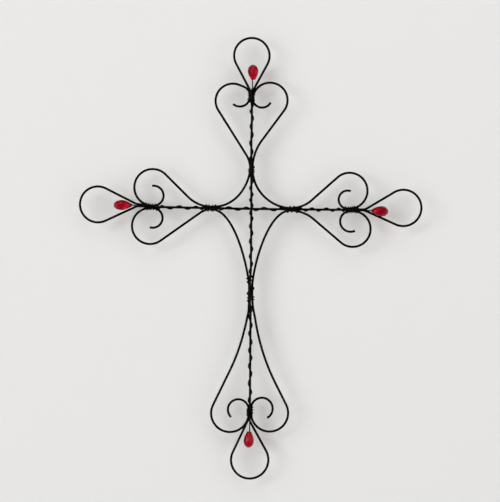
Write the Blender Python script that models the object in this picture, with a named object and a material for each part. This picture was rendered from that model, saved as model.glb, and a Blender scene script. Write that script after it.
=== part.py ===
# A wall cross bent by hand from black annealed wire, with four red glass drops.
#
# Two stems cross: the upright in front, the crossbar behind. Each stem is one wire that ends in an
# open loop at both ends. One scroll wire fills each quarter. It starts as a small scroll by the tie
# of one arm, swings out in a lobe, comes back to the stem, sweeps round the corner to the next arm
# and ends there the same way. A thin binding wire runs along each stem. It is wound close at two
# ties on every arm, spirals on the free stem between them and ends in a stalk that carries a drop.
#
# The cross stands in the XZ plane, its front towards -Y. The origin is the point inside the top of
# the upper loop where the cross hangs. Lengths are metres, angles are degrees.

import math

import bpy
import bmesh
from mathutils import Vector
from mathutils.geometry import interpolate_bezier

mm = 0.001

# Wire and clearances
wire_diameter = 2.2 * mm
binding_diameter = 1.1 * mm
gap = 0.3 * mm
coil_pitch = 1.2 * mm
tail_length = 1.5 * mm
foot_radius = 6.0 * mm

# Glass drops
drop_length = 15.5 * mm
drop_diameter = 9.8 * mm
drop_end_length = 6.2 * mm
drop_tip_diameter = 4.0 * mm
drop_depth = -2.0 * mm
stalk_depth = 4.0 * mm
stalk_straight = 4.2 * mm
stalk_lead = 0.4 * mm

# How finely the curves are divided
chord_error = 0.25 * mm
corner_steps = 11
wire_bevel_resolution = 2
coil_sides = 6
spiral_sides = 8
drop_sides = 12
drop_rings = 4

# Each arm, with its places measured along the stem from the crossing. heading is the way that the
# arm points. The inner tie is where the scroll wires are bound after the corner, and touch is where
# they come closest to the stem there. The outer tie is at the scrolls. foot is where the two flanks
# of the loop part, with how far each one lies to its own side of the stem there. foot, loop_centre
# and drop are measured outward from the middle of the outer tie. Shifts are to the left of the
# heading. stem_flank says by which flank the stem runs on into the loop, +1 for the left.
arms = {
    "right": dict(
        heading=-0.55, inner_tie=38.6 * mm, inner_tie_length=12.6 * mm, touch=37.5 * mm,
        outer_tie=97.1 * mm, outer_tie_length=10.5 * mm, foot=9.8 * mm, left_flank=0.4 * mm,
        right_flank=0.3 * mm, loop_centre=48.0 * mm, loop_radius=17.3 * mm, loop_shift=2.3 * mm,
        drop=25.6 * mm, drop_shift=-1.05 * mm, stem_flank=-1,
    ),
    "top": dict(
        heading=90.0, inner_tie=37.2 * mm, inner_tie_length=5.3 * mm, touch=38.5 * mm,
        outer_tie=106.9 * mm, outer_tie_length=7.4 * mm, foot=3.0 * mm, left_flank=0.3 * mm,
        right_flank=0.7 * mm, loop_centre=39.4 * mm, loop_radius=16.9 * mm, loop_shift=-0.5 * mm,
        drop=23.4 * mm, drop_shift=-1.65 * mm, stem_flank=1,
    ),
    "left": dict(
        heading=178.8, inner_tie=38.1 * mm, inner_tie_length=9.5 * mm, touch=38.0 * mm,
        outer_tie=96.0 * mm, outer_tie_length=13.6 * mm, foot=12.0 * mm, left_flank=-0.4 * mm,
        right_flank=2.2 * mm, loop_centre=50.6 * mm, loop_radius=17.1 * mm, loop_shift=-1.2 * mm,
        drop=27.0 * mm, drop_shift=-1.05 * mm, stem_flank=1,
    ),
    "bottom": dict(
        heading=269.57, inner_tie=67.4 * mm, inner_tie_length=7.8 * mm, touch=74.0 * mm,
        outer_tie=194.7 * mm, outer_tie_length=7.4 * mm, foot=6.2 * mm, left_flank=-0.2 * mm,
        right_flank=2.0 * mm, loop_centre=45.0 * mm, loop_radius=17.8 * mm, loop_shift=0.2 * mm,
        drop=25.4 * mm, drop_shift=-0.85 * mm, stem_flank=-1,
    ),
}

# Each half of a scroll wire, named by its own arm and the arm at the other end of the wire. The
# scroll and lobe places are measured outward from the middle of the outer tie. curl is how far the
# wire turns from its cut end to the stem. sweep is the reach of the corner curve out of the tie.
halves = {
    ("top", "left"): dict(
        scroll_radius=9.6 * mm, scroll_place=0.7 * mm, curl=131.0, lobe_radius=16.5 * mm,
        lobe_place=-3.8 * mm, bend_radius=25.0 * mm, sweep=10.0 * mm,
    ),
    ("left", "top"): dict(
        scroll_radius=9.5 * mm, scroll_place=-2.4 * mm, curl=190.0, lobe_radius=17.2 * mm,
        lobe_place=-1.3 * mm, bend_radius=33.0 * mm, sweep=27.0 * mm,
    ),
    ("top", "right"): dict(
        scroll_radius=9.1 * mm, scroll_place=-1.1 * mm, curl=153.0, lobe_radius=16.7 * mm,
        lobe_place=-3.1 * mm, bend_radius=45.0 * mm, sweep=23.0 * mm,
    ),
    ("right", "top"): dict(
        scroll_radius=8.6 * mm, scroll_place=-5.2 * mm, curl=200.0, lobe_radius=17.1 * mm,
        lobe_place=-3.5 * mm, bend_radius=30.0 * mm, sweep=17.0 * mm,
    ),
    ("bottom", "left"): dict(
        scroll_radius=9.9 * mm, scroll_place=-2.9 * mm, curl=226.0, lobe_radius=17.9 * mm,
        lobe_place=0.6 * mm, bend_radius=187.0 * mm, sweep=10.0 * mm,
    ),
    ("left", "bottom"): dict(
        scroll_radius=9.4 * mm, scroll_place=-2.0 * mm, curl=196.0, lobe_radius=17.2 * mm,
        lobe_place=0.4 * mm, bend_radius=18.0 * mm, sweep=24.0 * mm,
    ),
    ("bottom", "right"): dict(
        scroll_radius=10.3 * mm, scroll_place=-4.1 * mm, curl=240.0, lobe_radius=17.7 * mm,
        lobe_place=0.1 * mm, bend_radius=160.0 * mm, sweep=18.0 * mm,
    ),
    ("right", "bottom"): dict(
        scroll_radius=9.9 * mm, scroll_place=-2.3 * mm, curl=206.0, lobe_radius=17.1 * mm,
        lobe_place=-0.2 * mm, bend_radius=34.0 * mm, sweep=22.0 * mm,
    ),
}

# Each stem runs from its first arm to its second. side is +1 where the stem lies behind the scroll
# wires. turn is the way that the binding wire goes round. A spiral has its pitch and its anchor, a
# place where it passes the stem's hidden side, measured from the crossing towards the second arm.
stems = {
    "upright": dict(
        first="top", second="bottom", side=-1, turn=1,
        spirals={
            "first": dict(pitch=15.6 * mm, anchor=-66.3 * mm),
            "middle": dict(pitch=12.8 * mm, anchor=0.8 * mm),
            "second": dict(pitch=15.8 * mm, anchor=146.5 * mm),
        },
    ),
    "crossbar": dict(
        first="left", second="right", side=1, turn=-1,
        spirals={
            "first": dict(pitch=17.0 * mm, anchor=-64.6 * mm),
            "middle": dict(pitch=17.3 * mm, anchor=0.1 * mm),
            "second": dict(pitch=13.5 * mm, anchor=61.8 * mm),
        },
    ),
}

# Sizes that follow from the ones above
wire_radius = wire_diameter / 2
binding_radius = binding_diameter / 2
beside_stem = wire_radius + gap / 2
stem_depth = wire_diameter + gap
reach = wire_radius + gap + binding_radius
room_to_pass = 2 * wire_radius + 2 * gap + binding_diameter
top_arm = arms["top"]
hang_height = top_arm["outer_tie"] + top_arm["loop_centre"] + top_arm["loop_radius"] - wire_radius
crossing = Vector((top_arm["loop_shift"], 0.0, -hang_height))
front = -90.0
back = 90.0


def clear_scene():
    for item in list(bpy.data.objects):
        bpy.data.objects.remove(item, do_unlink=True)


def unit(degrees):
    return Vector((math.cos(math.radians(degrees)), math.sin(math.radians(degrees))))


def on_arm(arm, across, along, depth):
    """A point given along an arm, to the left of its heading and in depth."""
    axis = unit(arms[arm]["heading"])
    left = Vector((-axis.y, axis.x))
    place = axis * along + left * across
    return crossing + Vector((place.x, depth, place.y))


# Bending

def tangent_run(first, second):
    """The straight run between two bending pegs, each a centre, a radius and a turn. The turn is
    +1 where the wire goes round the peg anticlockwise."""
    (centre_a, radius_a, turn_a), (centre_b, radius_b, turn_b) = first, second
    between = centre_b - centre_a
    base = math.atan2(between.y, between.x)
    share = (turn_b * radius_b - turn_a * radius_a) / between.length
    opening = math.acos(max(-1.0, min(1.0, share)))
    for angle in (base + opening, base - opening):
        normal = Vector((math.cos(angle), math.sin(angle)))
        if between.dot(Vector((normal.y, -normal.x))) >= 0:
            break
    return centre_a - normal * turn_a * radius_a, centre_b - normal * turn_b * radius_b


def arc(peg, start, end):
    """Points round a peg from start to end, both on its rim."""
    centre, radius, turn = peg
    angle_a = math.atan2(start.y - centre.y, start.x - centre.x)
    angle_b = math.atan2(end.y - centre.y, end.x - centre.x)
    swing = (turn * (angle_b - angle_a)) % math.tau
    step = 2 * math.acos(1 - chord_error / radius)
    count = max(1, math.ceil(swing / step))
    return [
        centre + radius * Vector((math.cos(angle_a + turn * swing * i / count),
                                  math.sin(angle_a + turn * swing * i / count)))
        for i in range(count + 1)
    ]


def bend_round(pegs, start, end):
    """A wire bent round a row of pegs, as across and along points."""
    points = []
    for peg, following in zip(pegs, pegs[1:]):
        leaves, meets = tangent_run(peg, following)
        points += arc(peg, start, leaves)
        start = meets
    points += arc(pegs[-1], start, end)
    return points


def tidy(points, least=0.05 * mm):
    """The same points without any that lie on top of the one before."""
    kept = [points[0]]
    for point in points[1:]:
        if (point - kept[-1]).length > least:
            kept.append(point)
    return kept


# Scroll wires

def half_scroll(arm, other):
    """One half of a scroll wire, from its cut end to where it touches the stem at the inner tie.
    across is counted towards the other arm here."""
    place = arms[arm]
    size = halves[(arm, other)]
    scroll = (Vector((beside_stem + size["scroll_radius"], place["outer_tie"] + size["scroll_place"])),
              size["scroll_radius"], -1)
    lobe = (Vector((beside_stem + size["lobe_radius"], place["outer_tie"] + size["lobe_place"])),
            size["lobe_radius"], -1)
    bend = (Vector((beside_stem + size["bend_radius"], place["touch"])), size["bend_radius"], 1)
    cut_end = scroll[0] + scroll[1] * unit(180 + size["curl"])
    touch = Vector((beside_stem, place["touch"]))
    return tidy(bend_round([scroll, lobe, bend], cut_end, touch))


def side_of(arm, other):
    """+1 where the other arm lies to the left of this one."""
    order = list(arms)
    return 1 if order[(order.index(arm) + 1) % len(order)] == other else -1


def scroll_wire_points(first, second):
    ends = []
    for arm, other in ((first, second), (second, first)):
        side = side_of(arm, other)
        ends.append([on_arm(arm, side * point.x, point.y, 0.0) for point in half_scroll(arm, other)])
    start, finish = ends[0][-1], ends[1][-1]
    inward_a = on_arm(first, 0, -halves[(first, second)]["sweep"], 0) - crossing
    inward_b = on_arm(second, 0, -halves[(second, first)]["sweep"], 0) - crossing
    corner = interpolate_bezier(start, start + inward_a, finish + inward_b, finish, corner_steps)
    return ends[0] + list(corner[1:-1]) + ends[1][::-1]


def corner_strand(arm, side):
    """The scroll wire on one side of an arm, from its cut end to past the corner."""
    order = list(arms)
    other = order[(order.index(arm) + side) % len(order)]
    path = [Vector((side * point.x, point.y, 0.0)) for point in half_scroll(arm, other)]
    axis = unit(arms[arm]["heading"])
    left = Vector((-axis.y, axis.x))
    for point in scroll_wire_points(arm, other)[len(path):len(path) + corner_steps - 2]:
        offset = Vector((point.x - crossing.x, point.z - crossing.z))
        path.append(Vector((offset.dot(left), offset.dot(axis), 0.0)))
    return path


# Stems and their loops

def stem_side(arm):
    return next(stem["side"] for stem in stems.values() if arm in (stem["first"], stem["second"]))


def loop_path(arm):
    """The wire of an arm from the outer tie round its loop and back to the cut end in the tie, as
    across, along and depth. Along the stem it is on one side of the scroll wires and at the cut
    end on the other."""
    place = arms[arm]
    flank = place["stem_flank"]
    shifts = {1: place["left_flank"], -1: -place["right_flank"]}
    foot = place["outer_tie"] + place["foot"]
    centre = Vector((place["loop_shift"], place["outer_tie"] + place["loop_centre"]))
    leaves = Vector((shifts[flank], foot))
    returns = Vector((shifts[-flank], foot))
    pegs = [
        (leaves + Vector((flank * foot_radius, 0.0)), foot_radius, -flank),
        (centre, place["loop_radius"], flank),
        (returns - Vector((flank * foot_radius, 0.0)), foot_radius, -flank),
    ]
    path = tidy(bend_round(pegs, leaves, returns))
    lengths = [0.0]
    for a, b in zip(path, path[1:]):
        lengths.append(lengths[-1] + (b - a).length)
    depth = stem_side(arm) * stem_depth
    tie_start = place["outer_tie"] - place["outer_tie_length"] / 2
    points = [Vector((0.0, tie_start, depth))]
    points += [
        Vector((point.x, point.y, depth * (1 - 2 * length / lengths[-1])))
        for point, length in zip(path, lengths)
    ]
    points.append(Vector((0.0, tie_start, -depth)))
    points.append(Vector((0.0, tie_start - tail_length, -depth)))
    return points


def stem_points(stem):
    ends = []
    for arm in (stems[stem]["first"], stems[stem]["second"]):
        ends.append([on_arm(arm, point.x, point.y, point.z) for point in loop_path(arm)])
    middle = crossing + Vector((0.0, stems[stem]["side"] * stem_depth, 0.0))
    return ends[0][::-1] + [middle] + ends[1]


# Binding wires

def at_station(path, along):
    """Where a wire passes a place on its arm, as across and depth, nearest to the stem's line."""
    nearest = None
    for a, b in zip(path, path[1:]):
        if a.y != b.y and min(a.y, b.y) <= along <= max(a.y, b.y):
            passes = a.lerp(b, (along - a.y) / (b.y - a.y))
            if nearest is None or abs(passes.x) < abs(nearest.x):
                nearest = Vector((passes.x, passes.z))
    return nearest


def around(discs, angle, step):
    """Where a binding wire stands off a bundle of equal wires: the meeting point of the two lines
    that touch the bundle half a step to either side of the angle."""
    angle_a, angle_b = angle - step / 2, angle + step / 2
    reach_a = max(disc.dot(unit(angle_a)) for disc in discs) + reach
    reach_b = max(disc.dot(unit(angle_b)) for disc in discs) + reach
    cross = math.sin(math.radians(step))
    normal_a, normal_b = unit(angle_a), unit(angle_b)
    return Vector(((reach_a * normal_b.y - reach_b * normal_a.y) / cross,
                   (reach_b * normal_a.x - reach_a * normal_b.x) / cross))


class Binding:
    """Follows one stem from its first arm to its second and collects the binding wire's points.
    A place on the stem is negative on the first arm. Across is counted to the right on the
    upright and upward on the crossbar, the left of the second arm."""

    def __init__(self, stem):
        self.first = stems[stem]["first"]
        self.second = stems[stem]["second"]
        self.side = stems[stem]["side"]
        self.turn = stems[stem]["turn"]
        self.rest = front if self.side < 0 else back
        self.strands = {}
        for arm in (self.first, self.second):
            loop = loop_path(arm)
            half = len(loop) // 2
            stem_line = [Vector((0.0, 0.0, loop[0].z))]
            self.strands[arm] = {
                "scrolls": [corner_strand(arm, 1), corner_strand(arm, -1)],
                "stem": stem_line + loop[:half],
                "loop_end": loop[half:],
            }
        self.points = []

    def arm_at(self, place):
        return self.first if place < 0 else self.second

    def put(self, place, offset):
        arm = self.arm_at(place)
        across = offset.x if arm == self.second else -offset.x
        self.points.append(on_arm(arm, across, abs(place), offset.y))

    def discs(self, place, whole):
        """Centres of the wires that the binding goes round, across and in depth."""
        arm = self.arm_at(place)
        strands = self.strands[arm]
        paths = [strands["stem"]]
        if whole:
            paths += strands["scrolls"] + [strands["loop_end"]]
        found = [at_station(path, abs(place)) for path in paths]
        sign = 1 if arm == self.second else -1
        return [Vector((sign * disc.x, disc.y)) for disc in found if disc is not None]

    def wind(self, start, end, turns, start_angle, sides, whole):
        """Winds evenly from one place to another."""
        count = round(turns * sides)
        step = 360.0 / sides
        for i in range(count + 1):
            place = start + (end - start) * i / count
            angle = start_angle + self.turn * step * i
            self.put(place, around(self.discs(place, whole), angle, step))

    def tie(self, middle, length, start_angle, end_angle):
        """A close coil round the whole bundle. The angles are the ones that it starts and ends at."""
        part = ((end_angle - start_angle) * self.turn / 360.0) % 1.0
        turns = max(1, round(length / coil_pitch - part)) + part
        half = turns * coil_pitch / 2
        self.wind(middle - half, middle + half, turns, start_angle, coil_sides, True)

    def free_end(self, arm, inner_end, outer_end, step=0.5 * mm):
        """The part of an arm between two places where the binding can pass beside the stem."""
        clear = []
        along = inner_end
        while along <= outer_end:
            beside = [at_station(path, along) for path in self.strands[arm]["scrolls"]]
            if all(disc is None or abs(disc.x) > room_to_pass for disc in beside):
                clear.append(along)
            along += step
        return (clear[0], clear[-1]) if clear else None

    def spiral(self, start, end, pitch, anchor):
        """Whole turns round the bare stem, from one pass over its outer side to another."""
        first = math.ceil((start - anchor) / pitch - 0.5)
        last = math.floor((end - anchor) / pitch - 0.5)
        if last > first:
            start = anchor + (first + 0.5) * pitch
            self.wind(start, start + (last - first) * pitch, last - first, self.rest, spiral_sides,
                      False)

    def crossing_spiral(self, start, end, pitch, anchor):
        """The spiral through the crossing. On the crossbar it goes over the front of the upright at
        its anchor, from above the crossbar to below it."""
        if self.side < 0:
            self.spiral(start, end, pitch, anchor)
            return
        before = math.floor((anchor - start) / pitch - 0.5) + 0.25
        after = math.floor((end - anchor) / pitch - 0.5) + 0.25
        over = anchor - 0.25 * pitch
        under = anchor + 0.25 * pitch
        if before > 0:
            self.wind(over - before * pitch, over, before, self.rest, spiral_sides, False)
        stand = 1.0 / math.cos(math.radians(22.5))
        for angle in (157.5, 112.5, 67.5, 22.5):
            offset = unit(angle) * reach * stand
            fall = offset.x * 2 * reach / (under - over)
            self.put(anchor + offset.x, Vector((-fall, -stem_depth - offset.y)))
        if after > 0:
            self.wind(under, under + after * pitch, after, -self.rest + self.turn * 90.0,
                      spiral_sides, False)


def binding_points(stem):
    path = Binding(stem)
    spirals = stems[stem]["spirals"]
    first, second = arms[path.first], arms[path.second]
    outer, middle = [], []
    for arm in (path.first, path.second):
        place = arms[arm]
        inner_tie_end = place["inner_tie"] + place["inner_tie_length"] / 2
        loop_end = place["outer_tie"] - place["outer_tie_length"] / 2 - tail_length - reach
        outer.append(path.free_end(arm, inner_tie_end, loop_end))
        middle.append(path.free_end(arm, 0.0, place["inner_tie"] - place["inner_tie_length"] / 2))

    path.points += stalk_points(path.first)[::-1]
    path.tie(-first["outer_tie"], first["outer_tie_length"], front, path.rest)
    if outer[0]:
        path.spiral(-outer[0][1], -outer[0][0], **spirals["first"])
    path.tie(-first["inner_tie"], first["inner_tie_length"], path.rest, path.rest)
    if middle[0] and middle[1]:
        path.crossing_spiral(-middle[0][1], middle[1][1], **spirals["middle"])
    path.tie(second["inner_tie"], second["inner_tie_length"], path.rest, path.rest)
    if outer[1]:
        path.spiral(outer[1][0], outer[1][1], **spirals["second"])
    path.tie(second["outer_tie"], second["outer_tie_length"], path.rest, front)
    path.points += stalk_points(path.second)
    return tidy(path.points)


# Glass drops and their stalks

def drop_place(arm):
    """Middle of a drop, as its place along the arm and its shift."""
    place = arms[arm]
    return place["outer_tie"] + place["drop"], place["drop_shift"]


def stalk_points(arm):
    """The end of the binding wire: out over the loop's foot, then into the drop's hole."""
    place = arms[arm]
    over_foot = place["outer_tie"] + place["foot"] + stalk_straight
    middle, shift = drop_place(arm)
    inner_end = middle - drop_length / 2 - stalk_lead
    wire_end = middle - drop_length / 2 + stalk_depth
    return [
        on_arm(arm, 0.0, over_foot, -stem_depth - reach),
        on_arm(arm, shift, inner_end, drop_depth),
        on_arm(arm, shift, wire_end, drop_depth),
    ]


def drop_profile():
    """Radius and height of the drop's skin: from the floor of its blind hole out over the narrow
    tip, then over the widest place to the round end. It starts and ends on the axis."""
    ball = drop_diameter / 2
    tip = drop_tip_diameter / 2
    hole = binding_radius + gap
    floor = stalk_depth + gap
    widest = drop_length - drop_end_length
    profile = [Vector((0.0, floor)), Vector((hole, floor)), Vector((hole, 0.0))]
    for i in range(drop_rings):
        rise = unit(90 * i / drop_rings).y
        profile.append(Vector((tip + (ball - tip) * rise, widest * i / drop_rings)))
    for i in range(drop_rings):
        turn = unit(90 * i / drop_rings)
        profile.append(Vector((ball * turn.x, widest + drop_end_length * turn.y)))
    profile.append(Vector((0.0, drop_length)))
    return profile


# Objects

def material(name, colour, roughness, metallic, transmission=0.0):
    made = bpy.data.materials.new(name)
    made.use_nodes = True
    shader = made.node_tree.nodes["Principled BSDF"]
    shader.inputs["Base Color"].default_value = (*colour, 1.0)
    shader.inputs["Roughness"].default_value = roughness
    shader.inputs["Metallic"].default_value = metallic
    shader.inputs["Transmission Weight"].default_value = transmission
    return made


def add_wire(name, points, radius, bevel_resolution, finish):
    curve = bpy.data.curves.new(name, "CURVE")
    curve.dimensions = "3D"
    curve.fill_mode = "FULL"
    curve.bevel_depth = radius
    curve.bevel_resolution = bevel_resolution
    curve.use_fill_caps = True
    curve.resolution_u = 1
    curve.render_resolution_u = 0
    spline = curve.splines.new("POLY")
    spline.points.add(len(points) - 1)
    for target, point in zip(spline.points, points):
        target.co = (*point, 1.0)
    curve.materials.append(finish)
    wire = bpy.data.objects.new(name, curve)
    bpy.context.collection.objects.link(wire)
    return wire


def add_drop(name, arm, finish):
    middle, shift = drop_place(arm)
    mesh = bmesh.new()
    rings = []
    for point in drop_profile():
        sides = drop_sides if point.x > 0 else 1
        rings.append([
            mesh.verts.new((point.x * unit(360 * i / drop_sides).x,
                            point.x * unit(360 * i / drop_sides).y, point.y))
            for i in range(sides)
        ])
    for low, high in zip(rings, rings[1:]):
        for i in range(drop_sides):
            following = (i + 1) % drop_sides
            corners = [low[i % len(low)], low[following % len(low)],
                       high[following % len(high)], high[i % len(high)]]
            mesh.faces.new(dict.fromkeys(corners))
    bmesh.ops.recalc_face_normals(mesh, faces=mesh.faces)
    data = bpy.data.meshes.new(name)
    mesh.to_mesh(data)
    mesh.free()
    data.shade_smooth()
    data.set_sharp_from_angle(angle=math.radians(40))
    data.materials.append(finish)
    drop = bpy.data.objects.new(name, data)
    tip = on_arm(arm, shift, middle - drop_length / 2, drop_depth)
    outward = on_arm(arm, shift, middle, drop_depth) - tip
    drop.location = tip
    drop.rotation_mode = "QUATERNION"
    drop.rotation_quaternion = outward.to_track_quat("Z", "Y")
    bpy.context.collection.objects.link(drop)
    return drop


def build():
    clear_scene()
    quarters = [("top", "left"), ("top", "right"), ("bottom", "left"), ("bottom", "right")]
    for upper, lower in quarters:
        finish = material(f"black_wire_{upper}_{lower}", (0.012, 0.012, 0.013), 0.45, 0.6)
        add_wire(f"scroll_{upper}_{lower}", scroll_wire_points(upper, lower), wire_radius,
                 wire_bevel_resolution, finish)
    for stem in stems:
        finish = material(f"black_wire_{stem}", (0.012, 0.012, 0.013), 0.45, 0.6)
        add_wire(f"{stem}_wire", stem_points(stem), wire_radius, wire_bevel_resolution, finish)
        finish = material(f"thin_wire_{stem}", (0.02, 0.018, 0.016), 0.5, 0.6)
        add_wire(f"{stem}_binding_wire", binding_points(stem), binding_radius, 0, finish)
    for arm in arms:
        finish = material(f"red_glass_{arm}", (0.55, 0.0, 0.01), 0.05, 0.0, 1.0)
        add_drop(f"glass_drop_{arm}", arm, finish)


build()
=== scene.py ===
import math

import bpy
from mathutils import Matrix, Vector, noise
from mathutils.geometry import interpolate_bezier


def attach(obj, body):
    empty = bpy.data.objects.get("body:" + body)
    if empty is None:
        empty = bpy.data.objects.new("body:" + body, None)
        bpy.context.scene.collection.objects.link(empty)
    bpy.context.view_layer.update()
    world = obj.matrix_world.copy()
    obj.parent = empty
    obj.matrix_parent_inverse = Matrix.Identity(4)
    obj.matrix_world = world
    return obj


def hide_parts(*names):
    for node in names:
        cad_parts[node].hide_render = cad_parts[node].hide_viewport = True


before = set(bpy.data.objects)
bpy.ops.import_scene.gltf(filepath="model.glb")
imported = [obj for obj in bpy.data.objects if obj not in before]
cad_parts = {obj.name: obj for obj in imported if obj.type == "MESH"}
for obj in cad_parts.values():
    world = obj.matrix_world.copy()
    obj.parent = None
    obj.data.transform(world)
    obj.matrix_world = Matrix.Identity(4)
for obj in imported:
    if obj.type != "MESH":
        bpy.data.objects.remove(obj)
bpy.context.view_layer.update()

# A wall cross bent by hand from black annealed wire, with four red glass drops.
# Lengths are in millimetres until a piece is made. The cross stands in the XZ plane, front towards -Y.
# A place on an arm is across (to the left of the arm's heading), along (from the crossing) and depth.

mm = 0.001

wire = dict(
    diameter=2.2,
    thinDiameter=1.1,
    besideStem=1.15,   # from a stem's line to a scroll wire in a tie
    bundleWidth=2.7,   # a scroll wire farther than this from the stem is out of the bundle
    stemDepth=1.88,    # how far a stem lies in front of or behind the scroll wires that it rests on
    rideUp=0.13,       # share of that added per millimetre that a stem is pushed aside
    step=0.9,          # spacing of the points along a bent wire
    thinStep=0.35,
    sides=16,
    thinSides=10,
    footRadius=6.0,
    tailLength=1.5,
    swayReach=12.0,    # a scroll wire sways only this near to its stem
    turnSteps=24,      # points in half a turn of the binding wire
    arcSteps=8,        # points in its quarter turn to the front of a tie
    pinch=(0.16, 0.12),   # how far a cut end is drawn in and out, as shares of the diameter
    roundAngle=50.0,
)

# Each arm. heading is the way it points, touch is where the scroll wires come closest to the stem,
# outerTie is the middle of the tie at the scrolls, and foot, loopCentre and drop are counted outward
# from there. The flanks say how far each side of the loop lies off the stem's line at its foot.
# sway gives places where the stem isn't straight, each along and across.
arms = {
    "right": dict(
        heading=-0.55, touch=37.5, outerTie=97.1, outerTieLength=10.5, foot=9.8, leftFlank=0.4,
        rightFlank=0.3, loopCentre=48.0, loopRadius=17.3, loopShift=2.3, drop=25.6, dropShift=-1.05,
        stemFlank=-1, sway=[],
    ),
    "top": dict(
        heading=90.0, touch=38.5, outerTie=106.9, outerTieLength=7.4, foot=3.0, leftFlank=0.3,
        rightFlank=0.7, loopCentre=39.4, loopRadius=16.9, loopShift=-0.5, drop=23.4, dropShift=-1.65,
        stemFlank=1, sway=[(66.0, 0.0), (80.0, -0.45), (97.0, -0.5), (103.2, -0.1)],
    ),
    "left": dict(
        heading=178.8, touch=38.0, outerTie=96.0, outerTieLength=13.6, foot=12.0, leftFlank=-0.4,
        rightFlank=2.2, loopCentre=50.6, loopRadius=17.1, loopShift=-1.2, drop=27.0, dropShift=-1.05,
        stemFlank=1, sway=[],
    ),
    "bottom": dict(
        heading=269.57, touch=74.0, outerTie=194.7, outerTieLength=7.4, foot=6.2, leftFlank=-0.2,
        rightFlank=2.0, loopCentre=45.0, loopRadius=17.8, loopShift=0.2, drop=25.4, dropShift=-0.85,
        stemFlank=-1, sway=[(58.0, 0.0), (67.0, -0.75), (88.0, -0.75), (99.0, 0.0)],
    ),
}

# Each half of a scroll wire, named by its own arm and the one at the wire's other end. One with a
# standOff isn't drawn up to the stem, and one with a lean parts from it at that angle.
halves = {
    ("top", "left"): dict(scrollRadius=9.85, scrollPlace=0.7, curl=131.0, lobeRadius=16.5,
                          lobePlace=-3.8, bendRadius=25.0, sweep=10.0),
    ("left", "top"): dict(scrollRadius=9.5, scrollPlace=-2.4, curl=190.0, lobeRadius=17.45,
                          lobePlace=-1.3, bendRadius=33.0, sweep=27.0),
    ("top", "right"): dict(scrollRadius=9.1, scrollPlace=-1.1, curl=153.0, lobeRadius=16.7,
                           lobePlace=-3.1, bendRadius=45.0, sweep=23.0),
    ("right", "top"): dict(scrollRadius=8.6, scrollPlace=-5.2, curl=200.0, lobeRadius=17.1,
                           lobePlace=-3.5, bendRadius=30.0, sweep=17.0),
    ("bottom", "left"): dict(scrollRadius=9.9, scrollPlace=-2.9, curl=226.0, lobeRadius=17.9,
                             lobePlace=0.6, bendRadius=187.0, sweep=10.0,
                             sway=[(73.9, 0.45), (80.0, 0.4), (91.0, -0.25), (98.0, -0.65),
                                   (105.0, -0.3), (116.0, 0.0)]),
    ("left", "bottom"): dict(scrollRadius=9.4, scrollPlace=-2.0, curl=196.0, lobeRadius=17.2,
                             lobePlace=0.4, bendRadius=18.0, sweep=24.0),
    ("bottom", "right"): dict(scrollRadius=10.3, scrollPlace=-4.1, curl=240.0, lobeRadius=17.7,
                              lobePlace=0.1, bendRadius=204.0, sweep=18.0, standOff=2.14, lean=1.5,
                              sway=[(73.9, -0.75), (91.0, -0.95), (107.0, 0.0)]),
    ("right", "bottom"): dict(scrollRadius=9.9, scrollPlace=-2.3, curl=206.0, lobeRadius=17.1,
                              lobePlace=-0.2, bendRadius=34.0, sweep=22.0),
}

wireRadius = wire["diameter"] / 2
thinRadius = wire["thinDiameter"] / 2
reach = wireRadius + thinRadius
topArm = arms["top"]
hangHeight = topArm["outerTie"] + topArm["loopCentre"] + topArm["loopRadius"] - wireRadius
crossing = Vector((topArm["loopShift"], 0.0, -hangHeight))


def unit(degrees):
    return Vector((math.cos(math.radians(degrees)), math.sin(math.radians(degrees))))


def onArm(arm, across, along, depth):
    axis = unit(arms[arm]["heading"])
    left = Vector((-axis.y, axis.x))
    place = axis * along + left * across
    return crossing + Vector((place.x, depth, place.y))


# Bending: a wire goes round a row of pegs, each a centre, a radius and a turn (+1 anticlockwise)
def straightRun(first, second):
    (centreA, radiusA, turnA), (centreB, radiusB, turnB) = first, second
    between = centreB - centreA
    base = math.atan2(between.y, between.x)
    share = (turnB * radiusB - turnA * radiusA) / between.length
    opening = math.acos(max(-1.0, min(1.0, share)))
    for angle in (base + opening, base - opening):
        normal = Vector((math.cos(angle), math.sin(angle)))
        if between.dot(Vector((normal.y, -normal.x))) >= 0:
            break
    return centreA - normal * turnA * radiusA, centreB - normal * turnB * radiusB


def roundPeg(peg, start, end):
    centre, radius, turn = peg
    angleA = math.atan2(start.y - centre.y, start.x - centre.x)
    angleB = math.atan2(end.y - centre.y, end.x - centre.x)
    swing = (turn * (angleB - angleA)) % math.tau
    count = max(2, math.ceil(swing * radius / 0.3))
    return [
        centre + radius * Vector((math.cos(angleA + turn * swing * i / count),
                                  math.sin(angleA + turn * swing * i / count)))
        for i in range(count + 1)
    ]


def bendRound(pegs, start, end):
    points = []
    for peg, following in zip(pegs, pegs[1:]):
        leaves, meets = straightRun(peg, following)
        points += roundPeg(peg, start, leaves)
        start = meets
    return points + roundPeg(pegs[-1], start, end)


# The same line with its points at even steps
def evenly(points, step):
    lengths = [0.0]
    for a, b in zip(points, points[1:]):
        lengths.append(lengths[-1] + (b - a).length)
    count = max(1, round(lengths[-1] / step))
    even, i = [], 0
    for k in range(count + 1):
        target = lengths[-1] * k / count
        while i < len(points) - 2 and lengths[i + 1] < target:
            i += 1
        part = (target - lengths[i]) / max(lengths[i + 1] - lengths[i], 1e-9)
        even.append(points[i].lerp(points[i + 1], min(1.0, max(0.0, part))))
    return even


# How far a wire lies off its plain line at a place along the arm; marks are (along, across)
def swayAt(marks, along):
    for (alongA, acrossA), (alongB, acrossB) in zip(marks, marks[1:]):
        if alongA <= along <= alongB:
            ease = (1 - math.cos(math.pi * (along - alongA) / (alongB - alongA))) / 2
            return acrossA + (acrossB - acrossA) * ease
    return 0.0


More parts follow.
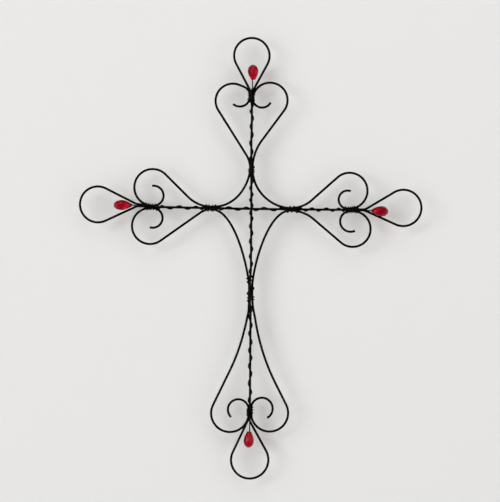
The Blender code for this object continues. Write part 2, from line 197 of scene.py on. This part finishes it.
def halfScroll(arm, other):
    place, size = arms[arm], halves[(arm, other)]
    beside = wire["besideStem"]
    off = size.get("standOff", beside)
    scroll = (Vector((beside + size["scrollRadius"], place["outerTie"] + size["scrollPlace"])),
              size["scrollRadius"], -1)
    lobe = (Vector((beside + size["lobeRadius"], place["outerTie"] + size["lobePlace"])),
            size["lobeRadius"], -1)
    bend = (Vector((off + size["bendRadius"], place["touch"])), size["bendRadius"], 1)
    cutEnd = scroll[0] + scroll[1] * unit(180 + size["curl"])
    line = bendRound([scroll, lobe, bend], cutEnd, Vector((off, place["touch"])))
    marks = size.get("sway", [])
    return [p + Vector((swayAt(marks, p.y) if abs(p.x) < wire["swayReach"] else 0.0, 0.0))
            for p in line]


def sideOf(arm, other):
    order = list(arms)
    return 1 if order[(order.index(arm) + 1) % len(order)] == other else -1


# Where a scroll wire heads for from its touch on the stem: inward, or off the stem by its lean
def handle(arm, other):
    size = halves[(arm, other)]
    across = sideOf(arm, other) * size["sweep"] * math.tan(math.radians(size.get("lean", 0.0)))
    return onArm(arm, across, -size["sweep"], 0) - crossing


def scrollLine(first, second):
    ends = []
    for arm, other in ((first, second), (second, first)):
        side = sideOf(arm, other)
        ends.append([onArm(arm, side * p.x, p.y, 0.0) for p in halfScroll(arm, other)])
    start, finish = ends[0][-1], ends[1][-1]
    inwardA, inwardB = handle(first, second), handle(second, first)
    corner = interpolate_bezier(start, start + inwardA, finish + inwardB, finish, 80)
    return evenly(ends[0] + list(corner[1:-1]) + ends[1][::-1], wire["step"])


def stemSide(arm):
    return -1 if arm in ("top", "bottom") else 1   # the upright lies in front


# From the outer tie round the loop and back to the cut end, as across, along and depth
def loopLine(arm):
    place = arms[arm]
    flank = place["stemFlank"]
    shifts = {1: place["leftFlank"], -1: -place["rightFlank"]}
    foot = place["outerTie"] + place["foot"]
    leaves, returns = Vector((shifts[flank], foot)), Vector((shifts[-flank], foot))
    centre = Vector((place["loopShift"], place["outerTie"] + place["loopCentre"]))
    radius = wire["footRadius"]
    path = bendRound([
        (leaves + Vector((flank * radius, 0.0)), radius, -flank),
        (centre, place["loopRadius"], flank),
        (returns - Vector((flank * radius, 0.0)), radius, -flank),
    ], leaves, returns)
    lengths = [0.0]
    for a, b in zip(path, path[1:]):
        lengths.append(lengths[-1] + (b - a).length)
    depth = stemSide(arm) * wire["stemDepth"]
    tieStart = place["outerTie"] - place["outerTieLength"] / 2
    points = [Vector((p.x, p.y, depth * math.cos(math.pi * length / lengths[-1])))
              for p, length in zip(path, lengths)]
    points.append(Vector((0.0, tieStart, -depth)))
    points.append(Vector((0.0, tieStart - wire["tailLength"], -depth)))
    return points


# The straight part of a stem, from the crossing to where the outer tie starts
def stemRun(arm):
    place = arms[arm]
    depth = stemSide(arm) * wire["stemDepth"]
    length = place["outerTie"] - place["outerTieLength"] / 2
    count = math.ceil(length / 2)
    points = []
    for k in range(count + 1):
        across = swayAt(place["sway"], length * k / count)
        points.append(Vector((across, length * k / count, depth * (1 + wire["rideUp"] * abs(across)))))
    return points


def stemLine(first, second):
    ends = [[onArm(arm, p.x, p.y, p.z) for p in stemRun(arm) + loopLine(arm)]
            for arm in (first, second)]
    return evenly(ends[0][::-1] + ends[1][1:], wire["step"])


# The binding wire is drawn tight over the wires that it holds. passes lists, from one end of the stem
# to the other, where it comes round the edge, first on the right (upright) or the top (crossbar) and
# then on either side in turn. "bundle" is wound round the wires that lie close there, "all" round
# every wire, "pair" round the stem and the scroll wire on its one side, and "stem" round the stem.
bindings = {
    "upright": dict(
        first="top", second="bottom", turn=1,
        passes=[
            ("bundle", [-110.9, -110.0, -109.2, -108.1, -107.7, -106.7, -106.2, -105.3, -104.8,
                        -104.0, -103.6, -102.7]),
            ("stem", [-99.4, -92.9, -86.5, -78.9, -70.3, -63.0, -54.1, -48.1]),
            ("bundle", [-39.6, -37.6, -37.5, -35.7, -35.6]),
            ("stem", [-32.8, -26.0, -19.8, -13.5, -8.4, -3.2, 4.3, 8.8, 16.7, 23.0, 31.1, 38.3,
                      45.5, 52.5, 59.6]),
            ("pair", [65.0, 66.6, 68.2, 69.8]),
            ("all", [75.7, 81.2, 84.2, 85.1, 86.6, 87.2]),
            ("stem", [95.6, 103.3, 111.1, 118.7, 127.2, 135.1, 142.0, 150.1, 157.0, 166.6, 174.9,
                      182.5]),
            ("bundle", [190.1, 191.1, 191.5, 192.4, 192.8, 193.7, 194.3, 195.2, 195.6]),
            ("all", [196.8, 197.4]),
        ],
        loose={75.7: 0.3, 81.2: 0.5, 84.2: 0.2, 85.1: 0.2, -37.6: 0.2, -35.7: 0.2, 193.7: 0.3,
               196.8: 0.3},
    ),
    "crossbar": dict(
        first="left", second="right", turn=-1,
        passes=[
            ("bundle", [-102.7, -101.4, -100.6, -99.3, -98.3, -97.5, -96.6, -96.0, -94.7, -93.4,
                        -92.0, -90.6, -89.2, -88.0]),
            ("stem", [-86.3, -77.9, -68.8, -61.3, -52.6, -47.4]),
            ("bundle", [-43.0, -41.1, -40.9, -37.7, -37.2, -36.3, -35.1]),
            ("stem", [-29.5, -21.7, -12.8, -5.0, 4.3, 11.7, 21.7, 28.8]),
            ("bundle", [35.3, 37.0, 38.6, 40.5, 43.6]),
            ("stem", [46.9, 51.8, 58.0, 64.0, 72.0, 77.5, 83.7]),
            ("bundle", [88.1, 90.2, 91.5, 92.8, 93.4, 94.9, 95.3, 96.7, 97.0, 98.5, 98.9, 100.1,
                        100.7, 101.6]),
        ],
        loose={-37.7: 0.4, -37.2: 0.3, -35.1: 0.3, 38.6: 0.35, 98.5: 0.3, 98.9: 0.3},
    ),
}


# Where each wire of an arm passes every half millimetre along it, as across and depth
def strandTable(arm):
    order = list(arms)
    axis = unit(arms[arm]["heading"])
    left = Vector((-axis.y, axis.x))
    lines = {}
    for side in (1, -1):
        other = order[(order.index(arm) + side) % len(order)]
        line = []
        for p in scrollLine(arm, other):
            offset = Vector((p.x - crossing.x, p.z - crossing.z))
            line.append(Vector((offset.dot(left), offset.dot(axis), p.y)))
        lines[f"scroll{side}"] = [p for p in line if p.y > abs(p.x) * 0.4]
    loop = loopLine(arm)
    half = len(loop) // 2
    lines["stem"] = stemRun(arm) + loop[:half]
    lines["loopEnd"] = loop[half:]
    table = {}
    for name, line in lines.items():
        found = {}
        for a, b in zip(line, line[1:]):
            low, high = sorted((a.y, b.y))
            for k in range(math.ceil(low * 2), math.floor(high * 2) + 1):
                if b.y == a.y:
                    continue
                spot = a.lerp(b, (k / 2 - a.y) / (b.y - a.y))
                if k not in found or abs(spot.x) < abs(found[k].x):
                    found[k] = Vector((spot.x, spot.z))
        table[name] = found
    return table


strandTables = {arm: strandTable(arm) for arm in arms}


# The wires that the binding meets at a place on the stem, as across and depth
def wiresAt(binding, place, held):
    arm = binding["first"] if place < 0 else binding["second"]
    sign = -1 if place < 0 else 1
    everyWire = ("stem", "scroll1", "scroll-1", "loopEnd")
    names = {"stem": ("stem",), "pair": ("stem", "scroll-1")}.get(held, everyWire)
    key = abs(place) * 2
    low = math.floor(key)
    met = []
    for name in names:
        found = strandTables[arm][name]
        if low in found and low + 1 in found:
            spot = found[low].lerp(found[low + 1], key - low)
            spot.x *= sign
            if held not in ("bundle", "pair") or name in ("stem", "loopEnd") or (
                    (spot - met[0]).length < wire["bundleWidth"]):
                met.append(spot)
    return met


# From the first or last pass round to the front of its tie, where the stalk leaves. edge is the angle
# of that pass, 0 or -180.
def frontArc(binding, arm, held, place, edge):
    end = arms[arm]["outerTie"] + arms[arm]["outerTieLength"] / 2
    end = -end if arm == binding["first"] else end
    steps = wire["arcSteps"]
    arc = []
    for k in range(1, steps + 1):
        along = place + (end - place) * k / steps
        normal = unit(edge + (-90 - edge) * k / steps)
        met = wiresAt(binding, along, held)
        spot = max(met, key=lambda disc: disc.dot(normal)) + normal * reach
        arc.append(Vector((spot.x, along, spot.y)))
    return arc


def bindingLine(binding):
    passes = [(held, place) for held, places in binding["passes"] for place in places]
    turn = binding["turn"]
    line = frontArc(binding, binding["first"], *passes[0], 0)[::-1]
    for i, ((heldA, placeA), (heldB, placeB)) in enumerate(zip(passes, passes[1:])):
        looseA = binding["loose"].get(placeA, 0.0)
        looseB = binding["loose"].get(placeB, 0.0)
        steps = wire["turnSteps"]
        for k in range(steps):
            part = k / steps
            ease = part * part * (3 - 2 * part)
            angle = turn * 180 * (i + part)
            place = placeA + (placeB - placeA) * part
            spots = []
            for held in (heldA, heldB):
                normal = unit(angle)
                met = wiresAt(binding, place, held)
                far = max(met, key=lambda disc: disc.dot(normal))
                spots.append(far + normal * reach)
            spot = spots[0].lerp(spots[1], ease)
            spot += unit(angle) * (looseA * (1 - ease) + looseB * ease)
            if binding["first"] == "left" and abs(place) < reach:   # over the front of the upright
                spot.y = -wire["stemDepth"] - reach
            line.append(Vector((spot.x, place, spot.y)))
    lastEdge = 0 if len(passes) % 2 else -180
    return line + frontArc(binding, binding["second"], *passes[-1], lastEdge)


# Draws the line taut and keeps it off the wires that it lies on and off the stem that it crosses. The
# last rounds only part them, as a turn that leaves one wire can come to lie in the next.
def relax(binding, line, rounds=30, partings=16):
    pinned = {0, len(line) - 1}
    otherDepth = -stemSide(binding["first"]) * wire["stemDepth"]
    for k in range(rounds + partings):
        moved = []
        for i, spot in enumerate(line):
            if i not in pinned and k < rounds:
                spot = spot.lerp((line[i - 1] + line[i + 1]) / 2, 0.5)
            for disc in wiresAt(binding, spot.y, "all"):
                away = Vector((spot.x - disc.x, spot.z - disc.y))
                if 0 < away.length < reach:
                    away *= reach / away.length
                    spot = Vector((disc.x + away.x, spot.y, disc.y + away.y))
            away = Vector((spot.y, spot.z - otherDepth))
            if 0 < away.length < reach:
                away *= reach / away.length
                spot = Vector((spot.x, away.x, otherDepth + away.y))
            moved.append(spot)
        line = moved
    return line


def placeBinding(binding, line):
    placed = []
    for spot in line:
        arm = binding["first"] if spot.y < 0 else binding["second"]
        across = -spot.x if spot.y < 0 else spot.x
        placed.append(onArm(arm, across, abs(spot.y), spot.z))
    return placed


# Glass drops: one is cut, and the four are its copies, each with its own size. tilt turns one off
# its arm's line, inward moves it towards the tie, point draws its end out thinner, enter is how far
# off the middle the stalk goes in, and stalk is the stalk's straight stretch outside it.
dropCut = dict(
    length=15.5, diameter=9.8, tipDiameter=4.0, endLength=6.2, depth=-2.0,
    hole=1.6, holeDepth=1.7, stalkDepth=1.4, facets=9, facetAngle=12.0,
    stalkHandles=(0.7, 0.25),   # how stiffly a stalk leaves its tie and meets its straight stretch
    # belts of facets: lean from the level, share of the full size that stays, shift of the belt
    belts=[(14, 0.955, 0.0), (46, 0.955, 0.5), (-12, 0.955, 0.5), (-27, 0.965, 0.0), (90, 0.96, 0.0)],
)
drops = {
    "top": dict(length=14.4, diameter=10.2, tilt=2.0, inward=0.0, point=0.0, enter=0.8, stalk=7.2),
    "bottom": dict(length=15.4, diameter=9.8, tilt=-2.0, inward=0.0, point=0.0, enter=0.5, stalk=8.0),
    "left": dict(length=17.7, diameter=9.8, tilt=1.0, inward=0.45, point=0.5, enter=0.0, stalk=0.5),
    "right": dict(length=16.0, diameter=10.0, tilt=-3.0, inward=0.0, point=0.3, enter=0.0, stalk=3.0),
}


def dropEnds(arm):
    place, size = arms[arm], drops[arm]
    middle = onArm(arm, place["dropShift"], place["outerTie"] + place["drop"] - size["inward"],
                   dropCut["depth"])
    axis = unit(arms[arm]["heading"] + size["tilt"])
    axis = Vector((axis.x, 0.0, axis.y))
    return middle - axis * size["length"] / 2, middle + axis * size["length"] / 2


# From the front of the outer tie out over the loop's foot and into the drop
def stalkLine(arm):
    place = arms[arm]
    size = drops[arm]
    inner, outer = dropEnds(arm)
    axis = (outer - inner).normalized()
    outward = onArm(arm, 0.0, 1.0, 0.0) - crossing
    entry = inner + (onArm(arm, size["enter"], 0.0, 0.0) - crossing)
    lift = -wire["stemDepth"] - reach
    start = onArm(arm, 0.0, place["outerTie"] + place["outerTieLength"] / 2, lift)
    bent = entry - outward * size["stalk"]
    span = (bent - start).length
    leaves, meets = (outward * span * share for share in dropCut["stalkHandles"])
    bend = interpolate_bezier(start, start + leaves, bent - meets, bent, 20)
    return list(bend) + [entry, entry + axis * dropCut["stalkDepth"]]


print("the lines of the wires are worked out")


def deselectAll():
    bpy.ops.object.select_all(action="DESELECT")


# A round wire along a line, with pinched cut ends
def drawWire(name, line, diameter, sides):
    deselectAll()
    bpy.ops.curve.primitive_nurbs_path_add(location=(0, 0, 0))
    piece = bpy.context.object
    piece.name = name
    curve = piece.data
    curve.splines.clear()
    run = curve.splines.new("POLY")
    run.points.add(len(line) - 1)
    for target, spot in zip(run.points, line):
        target.co = (*(spot * mm), 1.0)
    curve.dimensions = "3D"
    curve.bevel_depth = diameter * mm / 2
    curve.bevel_resolution = (sides - 4) // 2
    curve.use_fill_caps = True
    bpy.ops.object.convert(target="MESH")
    bpy.ops.object.mode_set(mode="EDIT")
    bpy.ops.mesh.select_all(action="SELECT")
    bpy.ops.mesh.remove_doubles(threshold=1e-6)
    bpy.ops.mesh.normals_make_consistent(inside=False)
    bpy.ops.mesh.select_all(action="DESELECT")
    bpy.ops.mesh.select_face_by_sides(number=5, type="GREATER")
    inward, outward = wire["pinch"]
    bpy.ops.mesh.inset(thickness=diameter * mm * inward, depth=diameter * mm * outward)
    bpy.ops.object.mode_set(mode="OBJECT")
    bpy.ops.object.shade_smooth_by_angle(angle=math.radians(wire["roundAngle"]))
    return piece


# A pressed glass drop on the Z axis, tip down: a turned blank with belts of facets
def cutDrop():
    ball, tip = dropCut["diameter"] / 2, dropCut["tipDiameter"] / 2
    widest = dropCut["length"] - dropCut["endLength"]
    deselectAll()
    bpy.ops.mesh.primitive_circle_add(vertices=72, radius=tip * mm, location=(0, 0, 0))
    drop = bpy.context.object
    bpy.ops.object.mode_set(mode="EDIT")
    bpy.ops.mesh.select_all(action="SELECT")
    rings = [(tip + (ball - tip) * math.sin(math.pi / 2 * k / 10), widest * k / 10)
             for k in range(1, 11)]
    rings += [(ball * math.cos(math.radians(a)),
               widest + dropCut["endLength"] * math.sin(math.radians(a))) for a in range(10, 81, 10)]
    radius, height = tip, 0.0
    for newRadius, newHeight in rings:
        bpy.ops.mesh.extrude_region_move(
            TRANSFORM_OT_translate={"value": (0, 0, (newHeight - height) * mm)})
        bpy.ops.transform.resize(value=(newRadius / radius, newRadius / radius, 1))
        radius, height = newRadius, newHeight
    bpy.ops.mesh.edge_face_add()
    bpy.ops.mesh.select_all(action="DESELECT")
    bpy.ops.mesh.select_mode(type="EDGE")
    bpy.ops.mesh.select_non_manifold()
    bpy.ops.mesh.edge_face_add()
    bpy.ops.mesh.select_all(action="SELECT")
    bpy.ops.mesh.normals_make_consistent(inside=False)
    for lean, share, shift in dropCut["belts"]:
        rise = unit(lean)
        outline = max(Vector((r, h - widest)).dot(rise) for r, h in [(tip, 0.0)] + rings)
        for i in range(dropCut["facets"] if lean < 90 else 1):
            turn = unit(360 * (i + shift) / dropCut["facets"])
            normal = Vector((turn.x * rise.x, turn.y * rise.x, rise.y))
            spot = Vector((0.0, 0.0, widest)) + normal * outline * share
            bpy.ops.mesh.select_all(action="SELECT")
            bpy.ops.mesh.bisect(plane_co=spot * mm, plane_no=normal, use_fill=True, clear_outer=True,
                                threshold=1e-7)
    bpy.ops.mesh.select_all(action="SELECT")
    bpy.ops.mesh.remove_doubles(threshold=2e-6)
    bpy.ops.mesh.normals_make_consistent(inside=False)
    bpy.ops.object.mode_set(mode="OBJECT")
    return drop


# The blind hole for the stalk, drilled along the drop
def drillDrop(drop, place):
    bpy.ops.mesh.primitive_cylinder_add(vertices=24, radius=dropCut["hole"] / 2 * mm, location=place,
                                        depth=2 * dropCut["holeDepth"] * mm)
    drill = bpy.context.object
    deselectAll()
    drop.select_set(True)
    bpy.context.view_layer.objects.active = drop
    cut = drop.modifiers.new("drilled", "BOOLEAN")
    cut.operation = "DIFFERENCE"
    cut.object = drill
    cut.solver = "EXACT"
    bpy.ops.object.modifier_apply(modifier=cut.name)
    bpy.data.objects.remove(drill)
    bpy.ops.object.shade_smooth_by_angle(angle=math.radians(dropCut["facetAngle"]))


def hangDrop(pattern, arm):
    drop = pattern.copy()
    drop.data = pattern.data.copy()
    drop.name = f"glassDrop{arm.title()}"
    bpy.context.collection.objects.link(drop)
    size = drops[arm]
    across = size["diameter"] / dropCut["diameter"]
    inner, outer = dropEnds(arm)
    stretch = size["length"] / dropCut["length"]
    slope = (dropCut["length"] - dropCut["endLength"]) * stretch * mm   # tip to widest place
    for vertex in drop.data.vertices:
        vertex.co = (vertex.co.x * across, vertex.co.y * across, vertex.co.z * stretch)
        narrow = 1 - size["point"] * max(0.0, 1 - vertex.co.z / slope) ** 3
        vertex.co = (vertex.co.x * narrow, vertex.co.y * narrow, vertex.co.z)
    turn = (outer - inner).to_track_quat("Z", "Y")
    sideways = turn.inverted() @ (onArm(arm, size["enter"], 0.0, 0.0) - crossing)
    drillDrop(drop, (sideways.x * mm, sideways.y * mm, 0.0))
    drop.location = inner * mm
    drop.rotation_mode = "QUATERNION"
    drop.rotation_quaternion = turn
    bpy.ops.object.transform_apply(location=True, rotation=True, scale=True)
    return drop


# Materials
def linear(hexColour):
    values = [int(hexColour[i:i + 2], 16) / 255 for i in (1, 3, 5)]
    return (*[v / 12.92 if v <= 0.04045 else ((v + 0.055) / 1.055) ** 2.4 for v in values], 1.0)


def addNode(tree, kind, settings=None, links=None):
    node = tree.nodes.new(kind)
    for key, value in (settings or {}).items():
        if isinstance(key, str) and hasattr(node, key):
            setattr(node, key, value)
        else:
            node.inputs[key].default_value = value
    for key, socket in (links or {}).items():
        tree.links.new(socket, node.inputs[key])
    return node


# Annealed steel wire keeps its oxide skin: nearly black, brown where the skin is thin, a satin sheen
def annealedWire(name, look):
    material = bpy.data.materials.new(name)
    material.use_nodes = True
    tree = material.node_tree
    shader = tree.nodes["Principled BSDF"]
    shader.inputs["Metallic"].default_value = look["metallic"]
    shader.inputs["Specular Tint"].default_value = linear(look["edge"])   # the skin stays dark edge-on
    place = addNode(tree, "ShaderNodeTexCoord").outputs["Object"]
    patches = addNode(tree, "ShaderNodeTexNoise", {"Scale": 1 / (look["patch"] * mm), "Detail": 4.0},
                      {"Vector": place}).outputs["Fac"]
    skin = addNode(tree, "ShaderNodeValToRGB", {}, {"Fac": patches})
    skin.color_ramp.elements[0].position = 0.38
    skin.color_ramp.elements[0].color = linear(look["oxide"])
    skin.color_ramp.elements[1].position = 0.66
    skin.color_ramp.elements[1].color = linear(look["thinOxide"])
    rubs = addNode(tree, "ShaderNodeTexNoise", {"Scale": 1 / (look["rub"] * mm), "Detail": 3.0},
                   {"Vector": place}).outputs["Fac"]
    bare = addNode(tree, "ShaderNodeMapRange", {"From Min": 0.62, "From Max": 0.74}, {"Value": rubs})
    colour = addNode(tree, "ShaderNodeMix", {"data_type": "RGBA", 7: linear(look["rubbed"])},
                     {0: bare.outputs["Result"], 6: skin.outputs["Color"]}).outputs[2]
    tree.links.new(colour, shader.inputs["Base Color"])
    gloss = addNode(tree, "ShaderNodeMapRange",
                    {"From Min": 0.3, "From Max": 0.7, "To Min": look["gloss"][0],
                     "To Max": look["gloss"][1]}, {"Value": patches})
    tree.links.new(gloss.outputs["Result"], shader.inputs["Roughness"])
    grain = addNode(tree, "ShaderNodeTexNoise", {"Scale": 1 / (look["grain"] * mm), "Detail": 2.0},
                    {"Vector": place}).outputs["Fac"]
    bump = addNode(tree, "ShaderNodeBump", {"Strength": 0.35, "Distance": 0.04 * mm}, {"Height": grain})
    tree.links.new(bump.outputs["Normal"], shader.inputs["Normal"])
    return material


# Pressed ruby glass: clear, crimson and fire-polished. Painted light and shade in its red: random dark
# spots and bright streaks for the facets' glints, and painted shade where the glass is seen edge-on.
# The same noise ripples its gloss and surface
def rubyGlass(name):
    material = bpy.data.materials.new(name)
    material.use_nodes = True
    tree = material.node_tree
    shader = tree.nodes["Principled BSDF"]
    shader.inputs["Transmission Weight"].default_value = 1.0
    shader.inputs["IOR"].default_value = 1.52
    shader.inputs["Specular Tint"].default_value = linear("#ff7a80")   # ruby glass glints pink
    place = addNode(tree, "ShaderNodeTexCoord").outputs["Object"]
    # one noise paints dark spots and bright streaks into the red, painted light and shade for the
    # facets' glints, and also ripples the gloss and surface
    paintedStreaksAndRipple = addNode(tree, "ShaderNodeTexNoise", {"Scale": 1 / (2.2 * mm), "Detail": 2.0},
                    {"Vector": place}).outputs["Fac"]
    # painted light and shade: deep and bright reds from the noise stand in for the facets' shade and
    # glints
    crimsonAndPaintedStreaks = addNode(tree, "ShaderNodeValToRGB", {}, {"Fac": paintedStreaksAndRipple})
    crimsonAndPaintedStreaks.color_ramp.elements[0].position = 0.36
    crimsonAndPaintedStreaks.color_ramp.elements[0].color = linear("#860010")
    crimsonAndPaintedStreaks.color_ramp.elements[1].position = 0.62
    crimsonAndPaintedStreaks.color_ramp.elements[1].color = linear("#cc0429")
    # painted shade: the red is mixed towards near black where the glass is seen edge-on
    edge = addNode(tree, "ShaderNodeLayerWeight", {"Blend": 0.5}).outputs["Facing"]
    paintedEdgeShade = addNode(tree, "ShaderNodeMapRange", {"From Min": 0.25, "From Max": 0.65}, {"Value": edge})
    colour = addNode(tree, "ShaderNodeMix", {"data_type": "RGBA", 7: linear("#1c0004")},
                     {0: paintedEdgeShade.outputs["Result"], 6: crimsonAndPaintedStreaks.outputs["Color"]}).outputs[2]
    tree.links.new(colour, shader.inputs["Base Color"])
    gloss = addNode(tree, "ShaderNodeMapRange", {"To Min": 0.03, "To Max": 0.12}, {"Value": paintedStreaksAndRipple})
    tree.links.new(gloss.outputs["Result"], shader.inputs["Roughness"])
    bump = addNode(tree, "ShaderNodeBump", {"Strength": 0.2, "Distance": 0.1 * mm}, {"Height": paintedStreaksAndRipple})
    tree.links.new(bump.outputs["Normal"], shader.inputs["Normal"])
    return material


blackWire = annealedWire("annealed_black_wire", dict(
    metallic=1.0, edge="#000000", oxide="#0f1011", thinOxide="#171514", rubbed="#3a3836", patch=14.0,
    rub=2.5, grain=0.25, gloss=(0.34, 0.46)))
thinWire = annealedWire("annealed_binding_wire", dict(
    metallic=1.0, edge="#000000", oxide="#131314", thinOxide="#1c1a19", rubbed="#44413e", patch=8.0,
    rub=1.6, grain=0.2, gloss=(0.38, 0.5)))
redGlass = rubyGlass("ruby_pressed_glass")


def finishPiece(piece, material, node):
    piece.data.materials.clear()
    piece.data.materials.append(material)
    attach(piece, "root")
    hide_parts(node)


for first, second in (("top", "left"), ("top", "right"), ("bottom", "left"), ("bottom", "right")):
    piece = drawWire(f"scroll{first.title()}{second.title()}", scrollLine(first, second),
                     wire["diameter"], wire["sides"])
    finishPiece(piece, blackWire, f"scroll_{first}_{second}")
print("four scroll wires are bent")

for stem, (first, second) in {"upright": ("top", "bottom"), "crossbar": ("left", "right")}.items():
    piece = drawWire(f"{stem}Wire", stemLine(first, second), wire["diameter"], wire["sides"])
    finishPiece(piece, blackWire, f"{stem}_wire")
print("two stems are bent")

for stem, binding in bindings.items():
    line = placeBinding(binding, relax(binding, bindingLine(binding)))
    line = stalkLine(binding["first"])[::-1] + line + stalkLine(binding["second"])
    piece = drawWire(f"{stem}Binding", evenly(line, wire["thinStep"]), wire["thinDiameter"],
                     wire["thinSides"])
    finishPiece(piece, thinWire, f"{stem}_binding_wire")
print("both binding wires are wound")

pattern = cutDrop()
for arm in arms:
    finishPiece(hangDrop(pattern, arm), redGlass, f"glass_drop_{arm}")
bpy.data.objects.remove(pattern)
print("four glass drops are cut")

# Camera, backdrop, floor and light
view = dict(distance=1500.0, aim=(-1.79, -202.32), width=479.41)
bpy.ops.object.camera_add(location=(view["aim"][0] * mm, -view["distance"] * mm, view["aim"][1] * mm),
                          rotation=(math.radians(90), 0, 0))
camera = bpy.context.object
camera.data.sensor_width = 36.0
camera.data.lens = 36.0 * view["distance"] / view["width"]
camera.data.clip_end = 20.0
bpy.context.scene.camera = camera


def palePaint(name, colour, seenThroughBehind=False):
    material = bpy.data.materials.new(name)
    material.use_nodes = True
    tree = material.node_tree
    shader = tree.nodes["Principled BSDF"]
    shader.inputs["Base Color"].default_value = linear(colour)
    shader.inputs["Roughness"].default_value = 0.9
    if seenThroughBehind:
        behind = addNode(tree, "ShaderNodeNewGeometry").outputs["Backfacing"]
        clear = addNode(tree, "ShaderNodeBsdfTransparent").outputs["BSDF"]
        both = addNode(tree, "ShaderNodeMixShader", {},
                       {0: behind, 1: shader.outputs["BSDF"], 2: clear})
        tree.links.new(both.outputs["Shader"], tree.nodes["Material Output"].inputs["Surface"])
    return material


# in metres: the backdrop's distance behind the cross and both planes' sizes
room = dict(backdropGap=0.014, backdropSize=3.0, backdropHeight=0.1, floorHeight=-1.2, floorSize=8.0)
deselectAll()
bpy.ops.mesh.primitive_plane_add(size=room["backdropSize"], rotation=(math.radians(90), 0, 0),
                                 location=(0, room["backdropGap"], room["backdropHeight"]))
backdrop = bpy.context.object
backdrop.name = "backdrop"
backdrop.data.materials.append(palePaint("pale_backdrop", "#f1f1f1", True))
bpy.ops.mesh.primitive_plane_add(size=room["floorSize"], location=(0, 0, room["floorHeight"]))
floor = bpy.context.object
floor.name = "floor"
floor.data.materials.append(palePaint("pale_floor", "#dcdad6"))


def addPanel(name, place, aim, size, power, colour):
    bpy.ops.object.light_add(type="AREA", location=place)
    panel = bpy.context.object
    panel.name = name
    panel.data.shape = "SQUARE"
    panel.data.size = size
    panel.data.energy = power
    panel.data.color = linear(colour)[:3]
    panel.rotation_mode = "QUATERNION"
    panel.rotation_quaternion = (Vector(aim) - Vector(place)).to_track_quat("-Z", "Y")


addPanel("keyPanel", (-6.1, -5.1, 1.1), (0, 0, -0.2), 3.4, 150.0, "#f6f9ff")
addPanel("leftPanel", (-2.6, -2.3, 0.1), (0, 0, -0.2), 2.6, 33.0, "#fffdfb")
addPanel("rightPanel", (2.6, -2.3, -0.1), (0, 0, -0.2), 2.6, 36.0, "#fffdfb")
addPanel("topPanel", (0.0, -2.3, 2.4), (0, 0, -0.2), 2.6, 39.0, "#fffdfb")
scene = bpy.context.scene
scene.view_settings.view_transform = "Standard"
world = bpy.data.worlds.new("paleRoom")
scene.world = world
world.use_nodes = True
world.node_tree.nodes["Background"].inputs["Color"].default_value = linear("#fffefc")
world.node_tree.nodes["Background"].inputs["Strength"].default_value = 0.15
print("camera, backdrop and light are set")
